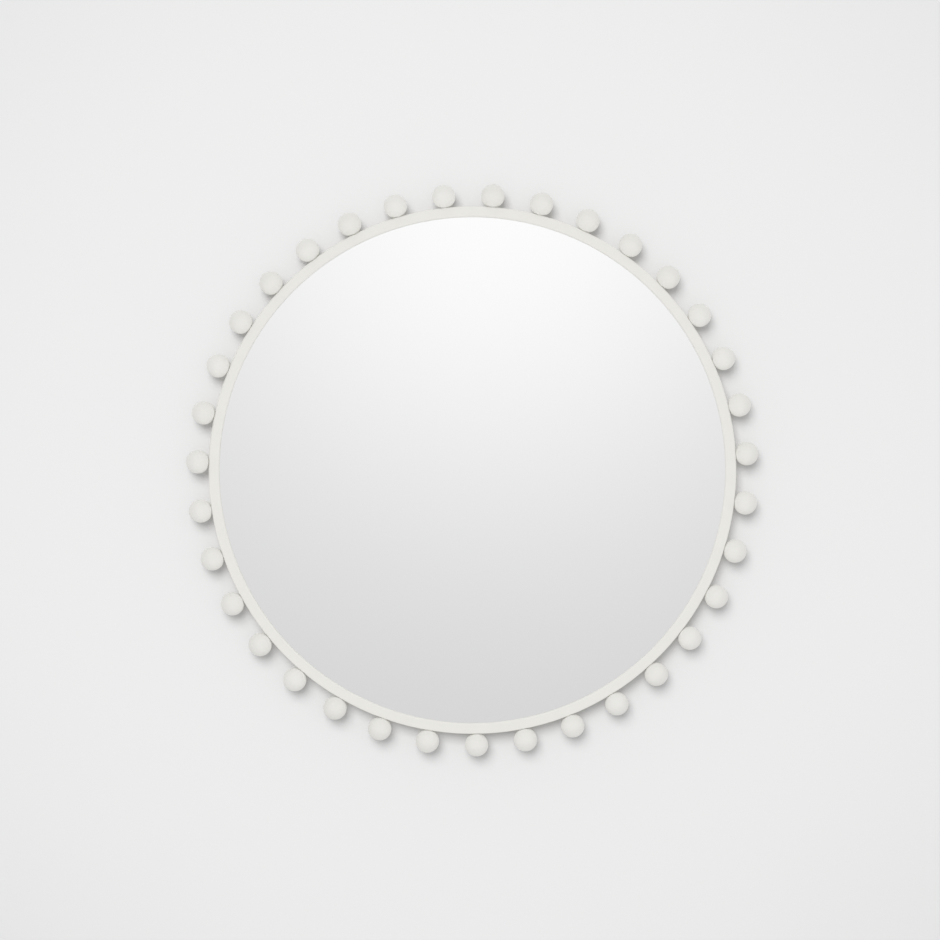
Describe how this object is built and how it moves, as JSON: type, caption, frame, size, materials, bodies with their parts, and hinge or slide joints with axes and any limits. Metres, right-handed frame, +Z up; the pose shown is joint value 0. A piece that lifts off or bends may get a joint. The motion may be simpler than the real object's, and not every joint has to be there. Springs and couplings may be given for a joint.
{
  "type": "round mirror",
  "caption": "Round wall mirror: silvered glass behind the lip of a flat matt off-white ring frame edged with evenly spaced turned beads, hung by swinging D-rings on its backing board.",
  "frame": {"origin": "the mirror's centre on the wall's surface", "axes": "+Z up, +X to the right as seen from the front, +Y into the wall, so the front faces -Y"},
  "size_m": [0.7992, 0.0335, 0.7985],
  "materials": {
    "frame_paint": "matt off-white paint on fibreboard",
    "bead_paint": "matt off-white paint on turned wood",
    "dowel_beech": "planed beech",
    "silvered_glass": "polished, silvered at the back",
    "foam_tape": "closed-cell foam",
    "fibreboard": "raw medium-density fibreboard",
    "plate_steel": "zinc plated",
    "hanger_steel": "nickel plated",
    "ring_steel": "nickel plated",
    "screw_steel": "zinc plated",
    "bumper_rubber": "moulded, matt"
  },
  "bodies": {
    "mirror": {"frame_ring": "frame_paint", "bead_01": "bead_paint", "bead_02": "bead_paint", "bead_03": "bead_paint", "bead_04": "bead_paint", "bead_05": "bead_paint", "bead_06": "bead_paint", "bead_07": "bead_paint", "bead_08": "bead_paint", "bead_09": "bead_paint", "bead_10": "bead_paint", "bead_11": "bead_paint", "bead_12": "bead_paint", "bead_13": "bead_paint", "bead_14": "bead_paint", "bead_15": "bead_paint", "bead_16": "bead_paint", "bead_17": "bead_paint", "bead_18": "bead_paint", "bead_19": "bead_paint", "bead_20": "bead_paint", "bead_21": "bead_paint", "bead_22": "bead_paint", "bead_23": "bead_paint", "bead_24": "bead_paint", "bead_25": "bead_paint", "bead_26": "bead_paint", "bead_27": "bead_paint", "bead_28": "bead_paint", "bead_29": "bead_paint", "bead_30": "bead_paint", "bead_31": "bead_paint", "bead_32": "bead_paint", "bead_33": "bead_paint", "bead_34": "bead_paint", "bead_35": "bead_paint", "bead_dowels": "dowel_beech", "mirror_glass": "silvered_glass", "mounting_tape": "foam_tape", "backing_board": "fibreboard", "retaining_plate_1": "plate_steel", "retaining_plate_2": "plate_steel", "retaining_plate_3": "plate_steel", "retaining_plate_4": "plate_steel", "retaining_plate_5": "plate_steel", "retaining_plate_6": "plate_steel", "retaining_plate_7": "plate_steel", "plate_screws": "screw_steel", "hanger_strap_left": "hanger_steel", "hanger_screws_left": "screw_steel", "hanger_strap_right": "hanger_steel", "hanger_screws_right": "screw_steel", "wall_bumper_1": "bumper_rubber", "wall_bumper_2": "bumper_rubber", "wall_bumper_3": "bumper_rubber", "wall_bumper_4": "bumper_rubber"},
    "ring_left": {"hanger_ring_left": "ring_steel"},
    "ring_right": {"hanger_ring_right": "ring_steel"}
  },
  "joints": [
    {"name": "left_ring_swing", "type": "hinge", "parent": "mirror", "child": "ring_left", "pos_m": [-0.21, -0.00345, 0.2], "axis": [-1, 0, 0], "range_deg": [0, 180]},
    {"name": "right_ring_swing", "type": "hinge", "parent": "mirror", "child": "ring_right", "pos_m": [0.21, -0.00345, 0.2], "axis": [-1, 0, 0], "range_deg": [0, 180]}
  ]
}
